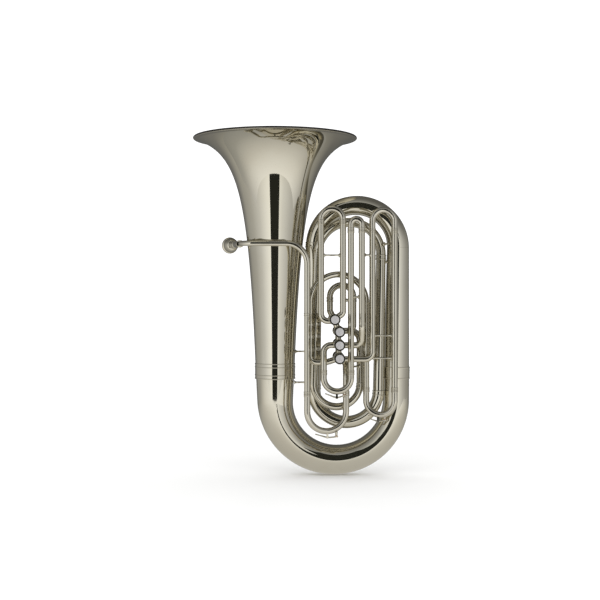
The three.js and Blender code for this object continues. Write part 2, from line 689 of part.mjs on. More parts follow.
function mouthpieceGroup() {
  const { z, start, direction } = LEADPIPE;
  const group = new THREE.Group();
  group.position.set(start[0], start[1], z);
  const aim = new THREE.Vector3(direction[0], direction[1], 0).normalize();
  group.quaternion.setFromUnitVectors(AWAY, aim);
  const { length, outer, ring, ringLength, bore } = RECEIVER;
  const sides = MOUTHPIECE.sides;
  const receiver = [
    [LEADPIPE.tip - 1, GAP], [ring, GAP], [ring, ringLength],
    [outer, ringLength], [outer, length - ringLength],
    [ring, length - ringLength], [ring, length], [bore, length], [bore, length - MOUTHPIECE.shank - 5],
    [LEADPIPE.tip - 1, length - MOUTHPIECE.shank - 5],
  ];
  place(group, "mouthpiece_receiver", turned(receiver, sides));
  const at = length - MOUTHPIECE.shank;
  const { throat, rim, length: reach } = MOUTHPIECE;
  const shank = [[6.2, 0], [7.7, 34], [8.2, 46], [9.5, 54]];
  const bowl = [[14.5, 63], [18.5, 74], [20.2, 86], [rim, 90], [rim, 93.5], [21.5, reach], [18.5, reach]];
  const cup = [[16.3, 92], [15.6, 82], [11, 70], [5, 63], [throat, 58], [throat, 52], [5.2, 0]];
  place(group, "mouthpiece", turned([...shank, ...bowl, ...cup].map(([r, s]) => [r, at + s]), sides));
  return group;
}

// ---- Assembly ----

const tuba = new THREE.Group();
tuba.add(bellGroup(), branchGroup(), mouthpieceGroup());
const tubing = new THREE.Group();
mainTubing(tubing);
firstTubing(tubing);
secondTubing(tubing);
thirdTubing(tubing);
fourthTubing(tubing);
place(tubing, "leadpipe", leadpipe());
tuba.add(tubing);
const block = new THREE.Group();
VALVES.forEach((_, i) => {
  place(block, `valve${i + 1}_casing`, casing(i + 1));
  block.add(valveGroup(i + 1));
});
tuba.add(block);

export default tuba;
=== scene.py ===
"""A silver-plated four-valve tuba in a light tent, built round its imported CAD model.

Lengths are in millimetres, and mesh() turns them into metres, but the camera and the stage are given in
metres. The finger buttons point along -Y, and the bell opens upwards."""

import math

import bpy
import numpy as np
from mathutils import Matrix, Quaternion, Vector


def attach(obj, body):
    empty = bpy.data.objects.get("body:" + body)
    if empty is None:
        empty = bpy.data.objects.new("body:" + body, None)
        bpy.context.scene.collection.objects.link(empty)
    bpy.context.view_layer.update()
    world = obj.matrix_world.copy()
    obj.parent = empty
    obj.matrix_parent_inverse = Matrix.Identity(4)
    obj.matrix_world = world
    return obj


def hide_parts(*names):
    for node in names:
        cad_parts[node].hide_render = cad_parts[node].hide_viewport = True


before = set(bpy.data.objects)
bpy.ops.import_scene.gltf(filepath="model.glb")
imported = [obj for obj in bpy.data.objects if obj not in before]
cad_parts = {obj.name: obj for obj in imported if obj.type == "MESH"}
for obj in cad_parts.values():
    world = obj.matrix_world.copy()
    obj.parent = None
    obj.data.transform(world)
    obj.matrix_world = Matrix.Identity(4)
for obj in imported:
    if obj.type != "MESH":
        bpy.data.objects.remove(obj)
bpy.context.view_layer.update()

MM = 0.001
AWAY = Vector((0, 1, 0))

# ---- Driving dimensions, the same as the CAD model's ----

BELL_X = -75.5
BELL_JOINT_Z = 295
RIM_Z = 956.5
FLARE = {"scale": 1394, "offset": 38.7, "power": 0.4923}
RIM_BEAD = {"centre": 229.7, "radius": 3.5}
WALL = 0.8

TUBE_R, BORE_R, SLIDE_R, SLIDE_BORE = 8.7, 8.1, 7.7, 7.1
FERRULE_R, FERRULE_LENGTH = 9.8, 7
GAP = 0.3

VALVES = [(91, 442.5), (104, 409), (104, 372.5), (104, 336)]
CASING = {"outer": 13.6, "bore": 12.2, "front": -104, "back": 14}
KNUCKLE_Y = [-58, -12, -34]
SADDLE_R = CASING["outer"] - 0.7  # where a tube's start ends, inside the casing's wall

FRONT, MAIN, PORT, FOURTH, BOW_A, SECOND, INNER, EXIT = -82, -62, -64, -61, -46, -34, -38, -12

BRANCH_CORNERS = [
    (104, EXIT, 409), (165.3, EXIT, 409, 28), (165.3, -34, 195.6), (32.1, INNER, 195.6), (47.1, INNER, 716.3),
    (227.2, -6, 716.3), (216, -26, 150), (35, 0, 150), (35, 0, 766), (276.2, 0, 766), (266.6, 0, 42),
    (BELL_X, 0, 42), (BELL_X, 0, BELL_JOINT_Z),
]
BRANCH_START = 9
BRANCH_SECTIONS = [
    # name, last bend, side of it, shortening, radius at the end
    ("exit_pipe", 1, "start", 0, 10),
    ("inner_bow", 3, "start", 0, 12.5),
    ("middle_top_bow", 4, "end", 0, 13.8),
    ("middle_right_leg", 5, "start", 0, 16.1),
    ("middle_lower_bow", 6, "end", 0, 19.3),
    ("outer_left_leg", 7, "start", 0, 23.5),
    ("outer_top_bow", 8, "end", 0, 31.5),
    ("outer_right_leg", 9, "start", 77, 36.4),
    ("bottom_bow", None, None, 0, 55),
]
BOTTOM_MIDDLE_R = 42
LEADPIPE_START, LEADPIPE_AIM = Vector((-172, -62, 654)), Vector((-0.3, 0.954, 0)).normalized()

# ---- Materials ----


def nodes_of(name):
    material = bpy.data.materials.new(name)
    material.use_nodes = True
    tree = material.node_tree
    return material, tree, tree.nodes["Principled BSDF"]


def noise(tree, scale, detail=4.0, stretch=(1, 1, 1), distortion=0.0):
    """Noise in the object's own coordinates, which are metres."""
    place = tree.nodes.new("ShaderNodeTexCoord")
    mapping = tree.nodes.new("ShaderNodeMapping")
    mapping.inputs["Scale"].default_value = stretch
    texture = tree.nodes.new("ShaderNodeTexNoise")
    texture.inputs["Scale"].default_value = scale
    texture.inputs["Detail"].default_value = detail
    texture.inputs["Distortion"].default_value = distortion
    tree.links.new(place.outputs["Object"], mapping.inputs["Vector"])
    tree.links.new(mapping.outputs["Vector"], texture.inputs["Vector"])
    return texture.outputs["Fac"]


def ramp(tree, value, stops):
    node = tree.nodes.new("ShaderNodeValToRGB")
    node.color_ramp.elements[0].position = stops[0][0]
    node.color_ramp.elements[0].color = (*stops[0][1], 1)
    node.color_ramp.elements[1].position = stops[-1][0]
    node.color_ramp.elements[1].color = (*stops[-1][1], 1)
    for position, colour in stops[1:-1]:
        node.color_ramp.elements.new(position).color = (*colour, 1)
    tree.links.new(value, node.inputs["Fac"])
    return node.outputs["Color"]


def span(tree, value, low, high):
    """A value from 0 to 1 mapped to low to high."""
    node = tree.nodes.new("ShaderNodeMapRange")
    node.inputs["To Min"].default_value = low
    node.inputs["To Max"].default_value = high
    tree.links.new(value, node.inputs["Value"])
    return node.outputs["Result"]


def bump(tree, shader, height, strength, distance):
    node = tree.nodes.new("ShaderNodeBump")
    node.inputs["Strength"].default_value = strength
    node.inputs["Distance"].default_value = distance
    tree.links.new(height, node.inputs["Height"])
    tree.links.new(node.outputs["Normal"], shader.inputs["Normal"])


def plated(name, light, dark, rough_low, rough_high, ripple=0.02):
    """Polished plate: cloudy tarnish in the colour, breath and polish marks in the roughness, a faint
    ripple. The rim wire's near-black colours are a painted dark reflection, not tarnish."""
    material, tree, shader = nodes_of(name)
    shader.inputs["Metallic"].default_value = 1
    cloud = noise(tree, 9, 5, distortion=0.6)
    tree.links.new(ramp(tree, cloud, [(0.3, dark), (0.62, light)]), shader.inputs["Base Color"])
    marks = noise(tree, 60, 8, stretch=(1, 1, 0.25))
    tree.links.new(span(tree, marks, rough_low, rough_high), shader.inputs["Roughness"])
    bump(tree, shader, noise(tree, 26, 2), ripple, 0.002)
    return material


def pearl_material():
    """Mother of pearl: pale layered clouds with a faint pink and green play."""
    material, tree, shader = nodes_of("mother_of_pearl")
    layers = noise(tree, 95, 6, stretch=(1, 1, 2.2), distortion=2.2)
    stops = [
        (0.25, (0.30, 0.27, 0.28)), (0.45, (0.46, 0.44, 0.44)), (0.6, (0.40, 0.41, 0.40)),
        (0.8, (0.55, 0.53, 0.53)),
    ]
    tree.links.new(ramp(tree, layers, stops), shader.inputs["Base Color"])
    shader.inputs["Roughness"].default_value = 0.3
    shader.inputs["Coat Weight"].default_value = 0.6
    bump(tree, shader, noise(tree, 220, 3), 0.05, 0.0005)
    return material


def cork_material():
    material, tree, shader = nodes_of("cork")
    grain = noise(tree, 900, 5)
    colour = ramp(tree, grain, [(0.35, (0.16, 0.08, 0.04)), (0.65, (0.45, 0.28, 0.16))])
    tree.links.new(colour, shader.inputs["Base Color"])
    shader.inputs["Roughness"].default_value = 0.85
    bump(tree, shader, grain, 0.4, 0.0006)
    return material


def felt_material():
    material, tree, shader = nodes_of("felt")
    fuzz = noise(tree, 1400, 6)
    colour = ramp(tree, fuzz, [(0.3, (0.03, 0.03, 0.035)), (0.7, (0.10, 0.10, 0.11))])
    tree.links.new(colour, shader.inputs["Base Color"])
    shader.inputs["Roughness"].default_value = 0.95
    bump(tree, shader, fuzz, 0.5, 0.0005)
    return material


SILVER = plated("silver_plate", (0.67, 0.635, 0.53), (0.645, 0.605, 0.495), 0.02, 0.06)
# The rim wire's near-black colour is a painted dark reflection, not the plate's own colour; its clouds are
# random tone.
RIM_PAINTED_DARK_REFLECTION = plated("rim_wire_painted_dark_reflection", (0.085, 0.08, 0.066), (0.05, 0.047, 0.04), 0.12, 0.22)
NICKEL = plated("nickel_silver", (0.66, 0.625, 0.53), (0.63, 0.59, 0.49), 0.03, 0.08)
MONEL = plated("piston_monel", (0.60, 0.585, 0.54), (0.52, 0.50, 0.46), 0.22, 0.34)
PEARL = pearl_material()
CORK = cork_material()
FELT = felt_material()

# ---- Paths ----


def route(corners, step_degrees=4.0):
    """A centre line through corners (x, y, z[, radius]), each inner corner rounded with its radius or the
    largest bend that fits. Returns the stations as (distance, point, tangent), each bend's start and end
    distance, and the length."""
    points = [Vector(c[:3]) for c in corners]
    last = len(points) - 1
    stations = [(0.0, points[0], (points[1] - points[0]).normalized())]
    bends = []
    s = 0.0
    start_from = points[0]
    for i in range(1, last):
        into = (points[i] - points[i - 1]).normalized()
        out = (points[i + 1] - points[i]).normalized()
        turn = into.angle(out)
        room = min(
            (points[i] - points[i - 1]).length * (1 if i == 1 else 0.5),
            (points[i + 1] - points[i]).length * (1 if i == last - 1 else 0.5),
        )
        wanted = corners[i][3] if len(corners[i]) > 3 else math.inf
        radius = min(wanted, room / math.tan(turn / 2))
        start = points[i] - into * (radius * math.tan(turn / 2))
        axis = into.cross(out).normalized()
        centre = start + axis.cross(into) * radius
        s += (start - start_from).length
        bend_start = s
        steps = max(2, math.ceil(math.degrees(turn) / step_degrees))
        for step in range(steps + 1):
            turned_by = Quaternion(axis, turn * step / steps)
            point = centre + turned_by @ (start - centre)
            s = bend_start + radius * turn * step / steps
            if (point - stations[-1][1]).length > 1e-4:
                stations.append((s, point, turned_by @ into))
        bends.append((bend_start, s))
        start_from = stations[-1][1]
    s += (points[last] - start_from).length
    if (points[last] - start_from).length > 1e-4:
        stations.append((s, points[last], (points[last] - points[last - 1]).normalized()))
    return {"stations": stations, "bends": bends, "length": s}


def line(a, b):
    return route([a, b])


def section_at(path, s):
    stations = path["stations"]
    for (s0, p0, t0), (s1, p1, t1) in zip(stations, stations[1:]):
        if s <= s1 + 1e-6 or s1 == stations[-1][0]:
            share = (s - s0) / (s1 - s0)
            return p0.lerp(p1, share), t0.lerp(t1, share).normalized()


def rings_of(path, profile):
    """The rings (point, tangent, radius) of a profile [(distance, radius), ...], with the path's own
    stations between its points."""
    rings = []
    for i, (s, radius) in enumerate(profile):
        rings.append((*section_at(path, s), radius))
        if i + 1 == len(profile):
            break
        next_s, next_radius = profile[i + 1]
        between = [st for st in path["stations"] if s + 1e-4 < st[0] < next_s - 1e-4]
        for station, point, tangent in between:
            share = (station - s) / (next_s - s)
            rings.append((point, tangent, radius + (next_radius - radius) * share))
    return rings


# ---- Meshes ----


def mesh(name, vertices, faces, material, body, slot=None, stands_for=(), sharp=32):
    """A smooth-shaded piece that rides on a body and may stand for CAD nodes."""
    data = bpy.data.meshes.new(name)
    data.from_pydata([tuple(v) for v in np.asarray(vertices, float) * MM], [], faces)
    data.update()
    data.shade_smooth()
    data.set_sharp_from_angle(angle=math.radians(sharp))
    piece = bpy.data.objects.new(name, data)
    bpy.context.scene.collection.objects.link(piece)
    data.materials.append(material)
    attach(piece, body)
    if stands_for:
        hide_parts(*stands_for)
    return piece


def bands(rings, sides, closed):
    """Quads between consecutive rings of vertices, and from the last ring to the first when closed."""
    faces = []
    count = rings if closed else rings - 1
    for ring in range(count):
        here, there = ring * sides, ((ring + 1) % rings) * sides
        for side in range(sides):
            following = (side + 1) % sides
            faces.append((here + side, here + following, there + following, there + side))
    return faces


def sweep(path, outer, inner=None, sides=40, saddle=None):
    """Vertices and faces of a shell swept along a path, or of a solid rod when inner is None. saddle is
    (x, z, radius) of an upright casing that the tube's start is fitted to."""
    rings = rings_of(path, outer)
    outer_count = len(rings)
    if inner:
        rings += rings_of(path, inner)[::-1]
    steep = any(abs(t.dot(AWAY)) > 0.9 for _, _, t in path["stations"])
    reference = Vector((0, 1, 1)) if steep else AWAY
    vertices = []
    for number, (point, tangent, radius) in enumerate(rings):
        across = (reference - tangent * reference.dot(tangent)).normalized()
        beside = tangent.cross(across)
        for side in range(sides):
            angle = 2 * math.pi * side / sides
            vertex = point + (across * math.cos(angle) + beside * math.sin(angle)) * radius
            if saddle and number in (0, len(rings) - 1):
                vertex = fitted(vertex, tangent, *saddle)
            vertices.append(vertex)
    faces = bands(len(rings), sides, bool(inner))
    if not inner:
        faces.append(tuple(range(sides))[::-1])
        faces.append(tuple((outer_count - 1) * sides + side for side in range(sides)))
    return vertices, faces


def fitted(vertex, along, x, z, radius):
    """The vertex slid along a direction until it lies on an upright cylinder's wall."""
    px, pz, dx, dz = vertex.x - x, vertex.z - z, along.x, along.z
    a, b, c = dx * dx + dz * dz, 2 * (px * dx + pz * dz), px * px + pz * pz - radius * radius
    root = math.sqrt(max(b * b - 4 * a * c, 0))
    return vertex + along * ((-b + root) / (2 * a))


def turned(profile, sides, transform=Matrix.Identity(4), ribs=0, rib_depth=0.0, rib_range=None):
    """A body of revolution about its local Y from a closed profile of (radius, y). ribs cuts a knurl into
    the points whose index is in rib_range."""
    vertices = []
    for i, (radius, y) in enumerate(profile):
        for side in range(sides):
            angle = 2 * math.pi * side / sides
            r = radius
            if rib_range and rib_range[0] <= i < rib_range[1]:
                r -= rib_depth * (0.5 - 0.5 * math.cos(angle * ribs))
            vertices.append(transform @ Vector((r * math.sin(angle), y, r * math.cos(angle))))
    faces = bands(len(profile), sides, True)
    return vertices, [face[::-1] for face in faces]


def merged(*shapes):
    """Several (vertices, faces) as one."""
    vertices, faces = [], []
    for more_vertices, more_faces in shapes:
        base = len(vertices)
        vertices.extend(more_vertices)
        faces.extend(tuple(base + i for i in face) for face in more_faces)
    return vertices, faces


def raised(start, end, base, top):
    """A ferrule's profile from start to end: a flat sleeve between two rounded beads."""
    bead = min(1.7, (end - start) / 4)
    points = [(start, base)]
    for centre in (start + bead, end - bead):
        for degrees in range(0, 181, 20):
            angle = math.radians(180 - degrees)
            points.append((centre + bead * 0.95 * math.cos(angle), top - 0.7 + 0.7 * math.sin(angle)))
    points.append((end, base))
    return points


def rod(a, b, radius, sides=20):
    path = line(a, b)
    return sweep(path, [(0, radius), (path["length"], radius)], None, sides)


# ---- Bell ----

ABOUT_BELL = Matrix.Translation((BELL_X, 0, 0)) @ Matrix.Rotation(math.pi / 2, 4, "X")


def arc_point(r, z, radius, degrees):
    angle = math.radians(degrees)
    return (r + radius * math.cos(angle), z + radius * math.sin(angle))


def bell_radius(z):
    return FLARE["scale"] * (RIM_Z - z + FLARE["offset"]) ** -FLARE["power"]


def bell():
    """The flaring bell with its rolled rim."""
    top = RIM_Z - 4.5
    share = np.linspace(0, 1, 110)
    heights = BELL_JOINT_Z + GAP + (top - BELL_JOINT_Z - GAP) * (1 - (1 - share) ** 1.7)
    outside = [(bell_radius(z), z) for z in heights]
    inside = []
    for radius, z in outside[::-1]:
        slope = FLARE["power"] * radius / (RIM_Z - z + FLARE["offset"])
        step = WALL / math.hypot(1, slope)
        inside.append((radius - step, max(z + step * slope, heights[0])))
    centre, bead = RIM_BEAD["centre"], RIM_BEAD["radius"]
    rim = [arc_point(centre, RIM_Z, bead, degrees) for degrees in range(-30, 181, 10)]
    under = [arc_point(centre, RIM_Z, bead, degrees) for degrees in range(-95, -30, 10)]
    lip = [*outside, *under, (centre - 1.2, RIM_Z - 1.0), (centre - 1.2, RIM_Z + 1.8), *inside]
    vertices, faces = turned(lip, 192, ABOUT_BELL)
    mesh("bell_body", vertices, faces, SILVER, "horn", "silver_plate", ["bell"], sharp=40)
    rolled = [*rim, (centre - 2.4, RIM_Z + 0.8), (centre - 2.4, RIM_Z - 1.6)]
    vertices, faces = turned(rolled, 192, ABOUT_BELL)
    # The rim wire is plated near-black: a painted dark reflection.
    mesh("bell_rim_wire", vertices, faces, RIM_PAINTED_DARK_REFLECTION, "horn", "silver_plate", sharp=40)


def bell_ferrule():
    """The bell's ferrule: a thin sleeve with a pair of fine beads at each end."""
    low, high = 272.5, 317
    base = bell_radius(high) + GAP + 0.05
    profile = [(base, low)]
    for centre in (low + 1.4, low + 11, high - 11, high - 1.4):
        for degrees in range(-90, 91, 15):
            angle = math.radians(degrees)
            profile.append((base + 0.35 + 0.95 * math.cos(angle), centre + 1.3 * math.sin(angle)))
    profile.append((base, high))
    vertices, faces = turned(profile, 160, ABOUT_BELL)
    mesh("bell_joint_ferrule", vertices, faces, SILVER, "horn", "silver_plate", ["bell_ferrule"], sharp=50)


# ---- Branches ----


def branches():
    path = route(BRANCH_CORNERS, 3.0)
    start, radius = 0.0, BRANCH_START
    for name, bend, side, short, end_radius in BRANCH_SECTIONS:
        end = path["length"] if bend is None else path["bends"][bend][side == "end"] - short
        low = start + (GAP if start else 0)
        taper = [(low, radius), (end, end_radius)]
        if name == "bottom_bow":
            middle = (path["bends"][9][0] + path["bends"][10][1]) / 2
            taper = smooth_taper([(low, radius), (middle, BOTTOM_MIDDLE_R), (end, end_radius)])
        sides = 112 if end_radius > 25 else 64
        bore = [(s, r - WALL) for s, r in taper]
        if name in ("exit_pipe", "bottom_bow", "outer_right_leg"):
            outer = taper
        else:
            collar = raised(low, low + 14, radius, radius + 1.4)
            outer = collar[1:] + taper[1:]
            outer[0] = (low, radius + 0.2)
        saddle = (*VALVES[1], SADDLE_R) if start == 0 else None
        vertices, faces = sweep(path, outer, bore, sides, saddle)
        mesh("branch_" + name, vertices, faces, SILVER, "horn", "silver_plate", [name], sharp=40)
        if name == "outer_right_leg":
            ring = raised(end - 17, end + 17, end_radius + 0.65, end_radius + 2.1)
            inner = [(end - 17, end_radius + 0.6), (end + 17, end_radius + 0.6)]
            sleeve = sweep(path, ring, inner, sides)
            mesh("bow_joint_ferrule", *sleeve, SILVER, "horn", "silver_plate", ["bow_ferrule"], sharp=50)
        start, radius = end, end_radius


def smooth_taper(points):
    """A radius that swells smoothly through three points: a parabola in the logarithm."""
    s, r = zip(*points)
    curve = np.polyfit(s, np.log(r), 2)
    return [(x, float(np.exp(np.polyval(curve, x)))) for x in np.linspace(s[0], s[-1], 40)]


# ---- Valve tubing ----


def fixed_tube(name, corners, node, valve=None, open_start=False):
    """A fixed tube with a beaded ferrule at its open end or ends. Its start fits the casing of a valve, if
    one is given."""
    path = route(corners)
    end = path["length"]
    outer = [(0, TUBE_R)]
    if open_start:
        outer = raised(0, FERRULE_LENGTH, TUBE_R, FERRULE_R)
    outer = outer + raised(end - FERRULE_LENGTH, end, TUBE_R, FERRULE_R)
    outer[-1] = (end, TUBE_R + 0.2)
    if open_start:
        outer[0] = (0, TUBE_R + 0.2)
    saddle = (*VALVES[valve - 1], SADDLE_R) if valve else None
    vertices, faces = sweep(path, outer, [(0, BORE_R), (end, BORE_R)], 40, saddle)
    mesh(name, vertices, faces, SILVER, "horn", "silver_plate", [node], sharp=50)


def slide(name, a, b, bow_z, sleeve_z, depth, node, key=None):
    """A tuning slide. Its key's ears, pin and nipple are joined to it."""
    up = math.copysign(1, bow_z - sleeve_z)
    tip = sleeve_z - up * depth
    path = route([(*a, tip), (*a, bow_z), (*b, bow_z), (*b, tip)], 4.0)
    end, leg = path["length"], depth + GAP
    near = raised(leg, leg + FERRULE_LENGTH, SLIDE_R, FERRULE_R)
    far = raised(end - leg - FERRULE_LENGTH, end - leg, TUBE_R, FERRULE_R)
    near[-1] = (leg + FERRULE_LENGTH, TUBE_R)
    far[-1] = (end - leg, SLIDE_R)
    outer = [(0, SLIDE_R), *near, *far, (end, SLIDE_R)]
    shape = sweep(path, outer, [(0, SLIDE_BORE), (end, SLIDE_BORE)], 40)
    if key:
        shape = merged(shape, *key)
    mesh(name, *shape, NICKEL, node, "nickel", [node], sharp=50)


def brace(name, a, b, radius_a, radius_b, body="horn"):
    """A stay rod between two tubes, with a round flange and a bead at each end."""
    a, b = Vector(a), Vector(b)
    along = (b - a).normalized()
    path = line(a + along * (radius_a - 1.2), b - along * (radius_b - 0.2))
    end = path["length"]
    half = [(0, 5.6), (1.6, 5.5), (2.2, 5.0), (2.8, 3.4), (3.6, 3.1), (4.2, 3.5), (4.8, 3.1), (5.6, 2.5)]
    if end < 14:
        half = [(0, 5.2), (1.4, 5.0), (2.0, 4.0)]
    profile = half + [(end - s, r) for s, r in half[::-1]]
    mesh(name, *sweep(path, profile, None, 24), SILVER, body, "silver_plate", sharp=45)


def main_tubing():
    left, right, sleeve = 15.6, 124.4, 235
    corners = [(104, -40, 336), (right, -40, 318, 12), (right, MAIN, 287, 30), (right, MAIN, sleeve)]
    fixed_tube("main_sleeve", corners, "main_fixed_tube", valve=4)
    saddle, lever = water_key(-72, (72, 114), (97, 118), (38, 122), 122, 127)
    slide("main_slide", (left, FRONT), (right, MAIN), 130.6, sleeve, 38, "main_tuning_slide", saddle)
    key_pieces("main_key", lever, "main_water_key")


def first_tubing():
    left, right, sleeve = 54, 115, 713
    corners = [(91, FRONT, 438), (left, FRONT, 438, 20), (left, FRONT, sleeve)]
    fixed_tube("first_left_sleeve", corners, "first_left_tube", 1)
    corners = [(91, FRONT, 442.5), (right, FRONT, 459, 14), (right, FRONT, sleeve)]
    fixed_tube("first_right_sleeve", corners, "first_right_tube", 1)
    slide("first_bow", (left, FRONT), (right, FRONT), 751.2, sleeve, 70, "first_slide")
    brace("first_brace", (left, FRONT, 621), (right, FRONT, 621), TUBE_R, TUBE_R)


def second_tubing():
    left, right, sleeve = 80, 146, 497.7
    corners = [(91, SECOND, 442.5), (left, SECOND, 466, 14), (left, SECOND, sleeve)]
    fixed_tube("second_left_sleeve", corners, "second_left_tube", 1)
    corners = [(104, SECOND, 409), (right, SECOND, 409, 16), (right, SECOND, sleeve)]
    fixed_tube("second_right_sleeve", corners, "second_right_tube", 2)
    slide("second_bow", (left, SECOND), (right, SECOND), 538.4, sleeve, 16, "second_slide")


def third_tubing():
    left, middle, right, low, high = 61.5, 137.3, 167.7, 295, 690
    corners = [(104, FRONT, 371), (left, FRONT, 371, 20), (left, FRONT, low)]
    fixed_tube("third_left_sleeve", corners, "third_left_tube", 3)
    corners = [(middle, FRONT, low), (middle, FRONT, high)]
    fixed_tube("third_middle_sleeve", corners, "third_middle_tube", open_start=True)
    corners = [(104, PORT, 370), (right, PORT, 370, 18), (right, FRONT, 420, 60), (right, FRONT, high)]
    fixed_tube("third_right_sleeve", corners, "third_right_tube", 3)
    saddle, lever = water_key(FRONT, (98, 225), (119, 234), (66, 236), 233, 239)
    slide("third_lower_bow", (left, FRONT), (middle, FRONT), 242.1, low, 45, "third_lower_slide", saddle)
    key_pieces("third_key", lever, "third_water_key")
    slide("third_upper_bow", (middle, FRONT), (right, FRONT), 722.1, high, 70, "third_upper_slide")
    brace("first_third_brace", (middle, FRONT, 496), (115, FRONT, 496), TUBE_R, TUBE_R)
    brace("third_brace", (middle, FRONT, 505), (right, FRONT, 505), TUBE_R, TUBE_R)
    brace("exit_brace", (middle, FRONT, 310), (165.3, -22.2, 310), TUBE_R, 9.6)


def fourth_tubing():
    rise, right, left, far, high, low = 198, 260.3, 181.6, 24.6, 690, 245
    corners = [(104, PORT, 331), (rise, PORT, 331, 20), (rise, PORT, high)]
    fixed_tube("fourth_riser", corners, "fourth_right_tube", 4)
    corners = [(right, FOURTH, high), (right, FOURTH, low)]
    fixed_tube("fourth_middle_sleeve", corners, "fourth_middle_tube", open_start=True)
    corners = [
        (104, FOURTH, 333), (68, FOURTH, 322, 30), (far, FOURTH, 322, 18), (far, FOURTH, 568.2),
        (left, BOW_A, 568.2), (left, BOW_A, low),
    ]
    fixed_tube("fourth_left_loop", corners, "fourth_left_tube", 4)
    slide("fourth_upper_bow", (rise, PORT), (right, FOURTH), 748.7, high, 70, "fourth_upper_slide")
    saddle, lever = water_key(-54, (214, 157), (233, 163), (190, 164), 166, 169)
    slide("fourth_lower_bow", (left, BOW_A), (right, FOURTH), 174.5, low, 65, "fourth_lower_slide", saddle)
    key_pieces("fourth_key", lever, "fourth_water_key")
    brace("third_fourth_brace", (rise, PORT, 622), (167.7, FRONT, 622), TUBE_R, TUBE_R)
    brace("fourth_brace_upper", (rise, PORT, 397), (right, FOURTH, 397), TUBE_R, TUBE_R)
    brace("fourth_brace_lower", (rise - 10, PORT, 333.7), (right, FOURTH, 333.7), 12.5, TUBE_R)
    brace("fourth_leg_brace", (right, FOURTH, 655), (226.1, -7.7, 655), TUBE_R, 14.4)


# ---- Water keys ----


def water_key(y, pivot, vent, touch, tube_z, vent_tube_z):
    """A key under a bow, as two values: the ears, pin and nipple that belong to the slide, and the lever's
    own shapes. tube_z and vent_tube_z are the heights of the bow's underside at the pivot and the vent."""
    pivot_x, pivot_z = pivot
    vent_x, vent_z = vent
    ears = []
    for side in (-1, 1):
        ear_y = y + side * 4.5
        ears.append(rounded_plate(pivot_x, ear_y, pivot_z, tube_z + 2.5, 2.7, 1.1))
    pin = rod((pivot_x, y - 6.2, pivot_z), (pivot_x, y + 6.2, pivot_z), 1.2)
    heads = [
        rod((pivot_x, y - 6.6, pivot_z), (pivot_x, y - 5.6, pivot_z), 1.9),
        rod((pivot_x, y + 5.6, pivot_z), (pivot_x, y + 6.6, pivot_z), 1.9),
    ]
    spout_path = line((vent_x, y, vent_tube_z + 2.5), (vent_x, y, vent_z))
    long = spout_path["length"]
    outer = [(0, 4.4), (long - 3, 3.4), (long - 1, 3.4), (long, 3.0)]
    spout = sweep(spout_path, outer, [(0, 1.6), (long, 1.6)], 32)
    seat = vent_z - GAP
    barrel = rod((pivot_x, y - 3, pivot_z), (pivot_x, y + 3, pivot_z), 3, 28)
    arm_path = route([(vent_x, y, seat - 3), (pivot_x, y, pivot_z - 1.5, 30), (touch[0], y, touch[1])], 3)
    arm_end = arm_path["length"]
    arm = sweep(arm_path, [(0, 1.9), (arm_end * 0.5, 2.3), (arm_end - 9, 1.7), (arm_end, 1.7)], None, 20)
    arm = (flattened(arm[0], y, touch[0]), arm[1])
    cup = rod((vent_x, y, seat - 1.6), (vent_x, y, seat - 4.4), 4.8, 32)
    cork = rod((vent_x, y, seat), (vent_x, y, seat - 1.6), 4.2, 32)
    lever = {"metal": [barrel, arm, cup], "cork": cork, "coil": coil(pivot_x, y, pivot_z)}
    return [*ears, pin, *heads, spout], lever


def flattened(vertices, y, touch_x):
    """The lever's vertices, with the last stretch before the touch spread sideways into a spatula."""
    out = []
    for v in vertices:
        share = max(0.0, 1 - abs(v.x - touch_x) / 11)
        out.append(Vector((v.x, y + (v.y - y) * (1 + 2.2 * share * share), v.z)))
    return out


def rounded_plate(x, y, low, high, half_width, half_thick):
    """An upright plate with a round lower end, centred on the pivot."""
    outline = [(x + half_width, high), (x - half_width, high)]
    for degrees in range(180, 361, 15):
        angle = math.radians(degrees)
        outline.append((x + half_width * math.cos(angle), low + half_width * math.sin(angle)))
    count = len(outline)
    vertices = [Vector((px, y + side * half_thick, pz)) for side in (-1, 1) for px, pz in outline]
    faces = [tuple(range(count)), tuple(range(count, 2 * count))[::-1]]
    for i in range(count):
        j = (i + 1) % count
        faces.append((j, i, count + i, count + j))
    return vertices, faces


def coil(x, y, z):
    """The key's wire spring, wound beside the barrel between the ears."""
    radius, width, steps, steps_per_turn, wire = 3.7, 5.2, 48, 16, 0.4
    corners = []
    for i in range(steps + 1):
        angle = 2 * math.pi * i / steps_per_turn
        across, up = radius * math.cos(angle), radius * math.sin(angle)
        corners.append((x + across, y - width / 2 + width * i / steps, z + up))
    stations = []
    s = 0.0
    for i, corner in enumerate(corners):
        before, after = Vector(corners[max(i - 1, 0)]), Vector(corners[min(i + 1, steps)])
        stations.append((s, Vector(corner), (after - before).normalized()))
        if i < steps:
            s += (Vector(corners[i + 1]) - Vector(corner)).length
    path = {"stations": stations, "bends": [], "length": s}
    return sweep(path, [(0, wire), (s, wire)], None, 8)


def key_pieces(name, lever, node):
    mesh(name + "_lever", *merged(*lever["metal"]), SILVER, node, "nickel", [node], sharp=45)
    mesh(name + "_cork", *lever["cork"], CORK, node, sharp=40)
    mesh(name + "_spring", *lever["coil"], NICKEL, node, "nickel", sharp=60)


# ---- Valves ----


